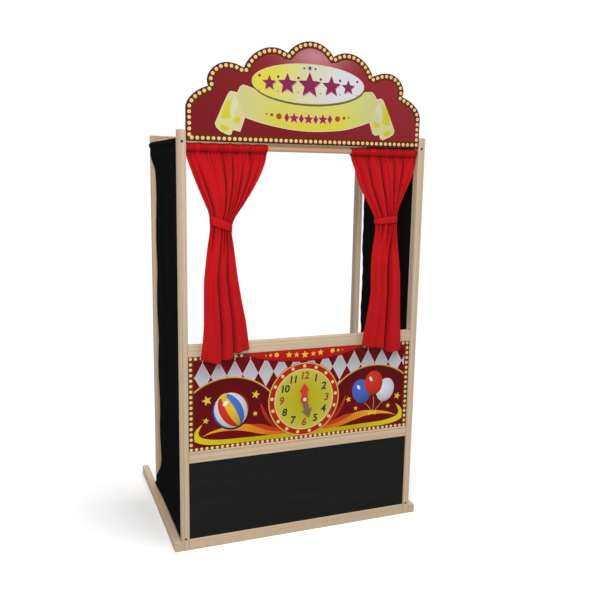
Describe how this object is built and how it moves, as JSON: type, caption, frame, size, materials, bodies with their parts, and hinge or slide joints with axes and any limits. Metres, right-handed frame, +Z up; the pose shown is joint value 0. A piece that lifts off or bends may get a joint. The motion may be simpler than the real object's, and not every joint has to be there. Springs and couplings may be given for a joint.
{
  "type": "puppet theater stand",
  "caption": "Floor-standing child's puppet theater: scalloped sign, tied-back curtains over a stage opening, play clock panel, chalkboard, cloth sides and an open back.",
  "frame": {"origin": "centre of the base of the whole stand's box, on the floor", "axes": "+Z up, +X to the right of someone who watches the stage, +Y from the stage front back to the puppeteer"},
  "size_m": [0.7102, 0.5554, 1.3035],
  "materials": {
    "pine": "planed and clear-sealed",
    "dowel_wood": "sanded",
    "sign_print": "printed face with a satin coat",
    "panel_print": "printed face with a satin coat",
    "chalk_paint": "matte chalkboard paint",
    "red_cloth": "plain weave",
    "black_cloth": "plain weave",
    "red_plastic": "semi-gloss",
    "brown_plastic": "semi-gloss",
    "white_plastic": "semi-gloss",
    "dark_steel": "blackened"
  },
  "bodies": {
    "frame": {"front_post_left": "pine", "front_post_right": "pine", "bottom_rail": "pine", "middle_rail": "pine", "ledge_rail": "pine", "header_rail": "pine", "rear_post_left": "pine", "rear_post_right": "pine", "rear_cross_rail": "pine", "foot_left": "pine", "foot_right": "pine", "curtain_rod": "dowel_wood", "side_dowel_top_left": "dowel_wood", "side_dowel_top_right": "dowel_wood", "side_dowel_base_left": "dowel_wood", "side_dowel_base_right": "dowel_wood", "sign_board": "sign_print", "clock_panel": "panel_print", "chalkboard": "chalk_paint", "side_drape_left": "black_cloth", "side_drape_right": "black_cloth", "clock_pin": "white_plastic", "clock_pin_cap": "white_plastic", "front_screw_top_left": "dark_steel", "front_screw_top_right": "dark_steel", "front_screw_base_left": "dark_steel", "front_screw_base_right": "dark_steel", "rear_screw_top_left": "dark_steel", "rear_screw_top_right": "dark_steel", "rear_screw_base_left": "dark_steel", "rear_screw_base_right": "dark_steel", "sign_screw_1": "dark_steel", "sign_screw_2": "dark_steel", "sign_screw_3": "dark_steel", "sign_screw_4": "dark_steel", "base_rail_peg_left": "dowel_wood", "base_rail_peg_right": "dowel_wood", "mid_rail_peg_left": "dowel_wood", "mid_rail_peg_right": "dowel_wood", "ledge_rail_peg_left": "dowel_wood", "ledge_rail_peg_right": "dowel_wood", "header_rail_peg_left": "dowel_wood", "header_rail_peg_right": "dowel_wood", "cross_rail_peg_left": "dowel_wood", "cross_rail_peg_right": "dowel_wood", "foot_peg_front_left": "dowel_wood", "foot_peg_front_right": "dowel_wood", "foot_peg_rear_left": "dowel_wood", "foot_peg_rear_right": "dowel_wood"},
    "minute_hand": {"minute_hand": "brown_plastic"},
    "hour_hand": {"hour_hand": "red_plastic"},
    "curtain_left": {"curtain_left": "red_cloth", "tieback_left": "red_cloth"},
    "curtain_right": {"curtain_right": "red_cloth", "tieback_right": "red_cloth"}
  },
  "joints": [
    {"name": "minute_hand_turn", "type": "hinge", "parent": "frame", "child": "minute_hand", "pos_m": [0, -0.25665, 0.382], "axis": [0, 1, 0], "continuous": true},
    {"name": "hour_hand_turn", "type": "hinge", "parent": "frame", "child": "hour_hand", "pos_m": [0, -0.25905, 0.382], "axis": [0, 1, 0], "continuous": true},
    {"name": "curtain_left_slide", "type": "slide", "parent": "frame", "child": "curtain_left", "axis": [1, 0, 0], "range_m": [0, 0.111]},
    {"name": "curtain_right_slide", "type": "slide", "parent": "frame", "child": "curtain_right", "axis": [-1, 0, 0], "range_m": [0, 0.111]}
  ]
}
